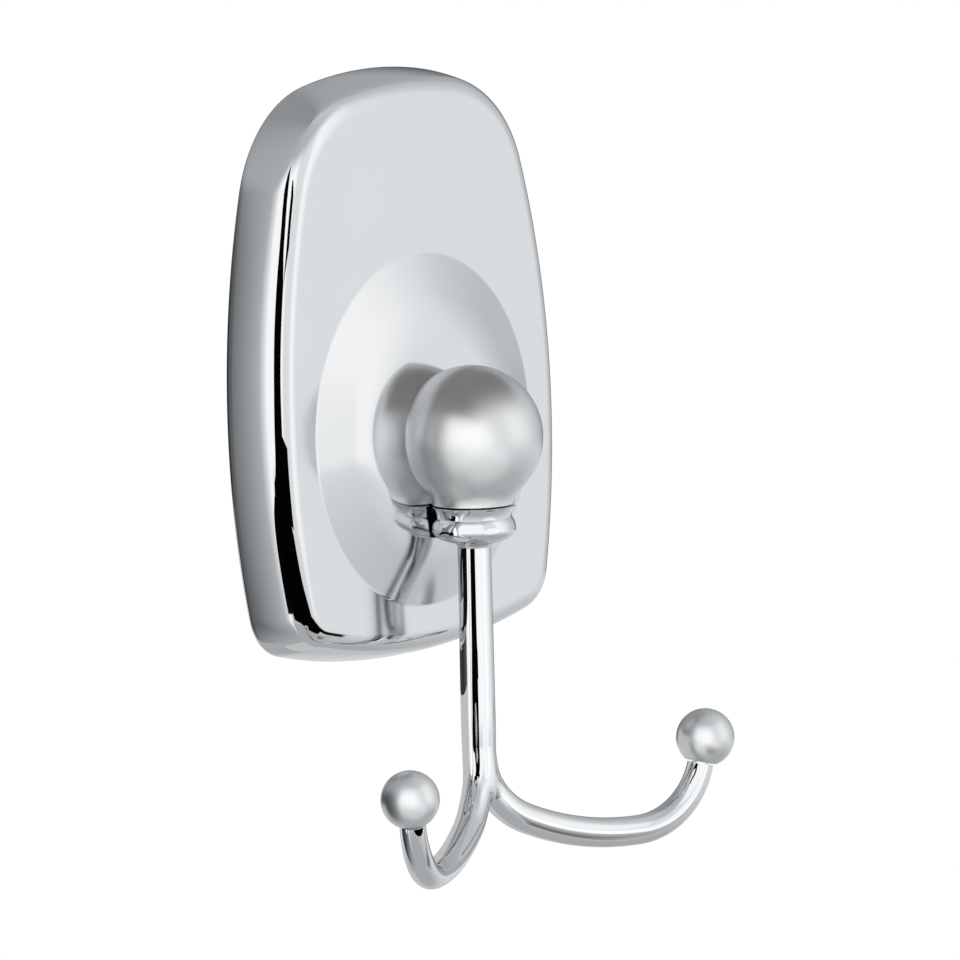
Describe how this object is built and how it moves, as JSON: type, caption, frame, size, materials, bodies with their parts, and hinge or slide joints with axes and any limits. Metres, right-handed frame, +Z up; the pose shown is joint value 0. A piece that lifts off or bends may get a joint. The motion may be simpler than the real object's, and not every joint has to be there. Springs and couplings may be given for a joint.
{
  "type": "robe_hook",
  "caption": "Wall-mounted double robe hook: polished bowed cover plate with a raised mound, satin ball hub, turned collar and a forked hook with ball tips on a hidden bracket",
  "frame": {"origin": "centre of the bracket's back face, on the wall plane, level with the mound's axis", "axes": "+Y into the wall, -Y out of the wall towards the user, +Z up, +X to the right as the user faces the wall"},
  "size_m": [0.101, 0.0749, 0.1452],
  "materials": {
    "chrome": "polished chrome plate",
    "satin": "satin nickel plate",
    "steel": "zinc-plated steel",
    "nylon": "moulded nylon"
  },
  "bodies": {
    "wall_mount": {"wall_bracket": "steel", "wall_screw_upper": "steel", "wall_screw_lower": "steel", "wall_anchor_upper": "nylon", "wall_anchor_lower": "nylon"},
    "hook_front": {"face_plate": "chrome", "hub_ball": "satin", "hub_screw": "steel", "hub_lock_washer": "steel", "hub_flat_washer": "steel", "collar_ring": "chrome", "hook_fork": "chrome", "tip_ball_left": "satin", "tip_ball_right": "satin"},
    "set_screw_body": {"set_screw": "steel"}
  },
  "joints": [
    {"name": "bracket_release", "type": "slide", "parent": "wall_mount", "child": "hook_front", "axis": [0, -1, 0], "range_m": [0, 0.012]},
    {"name": "set_screw_travel", "type": "slide", "parent": "hook_front", "child": "set_screw_body", "axis": [0, 0, -1], "range_m": [0, 0.003]}
  ]
}
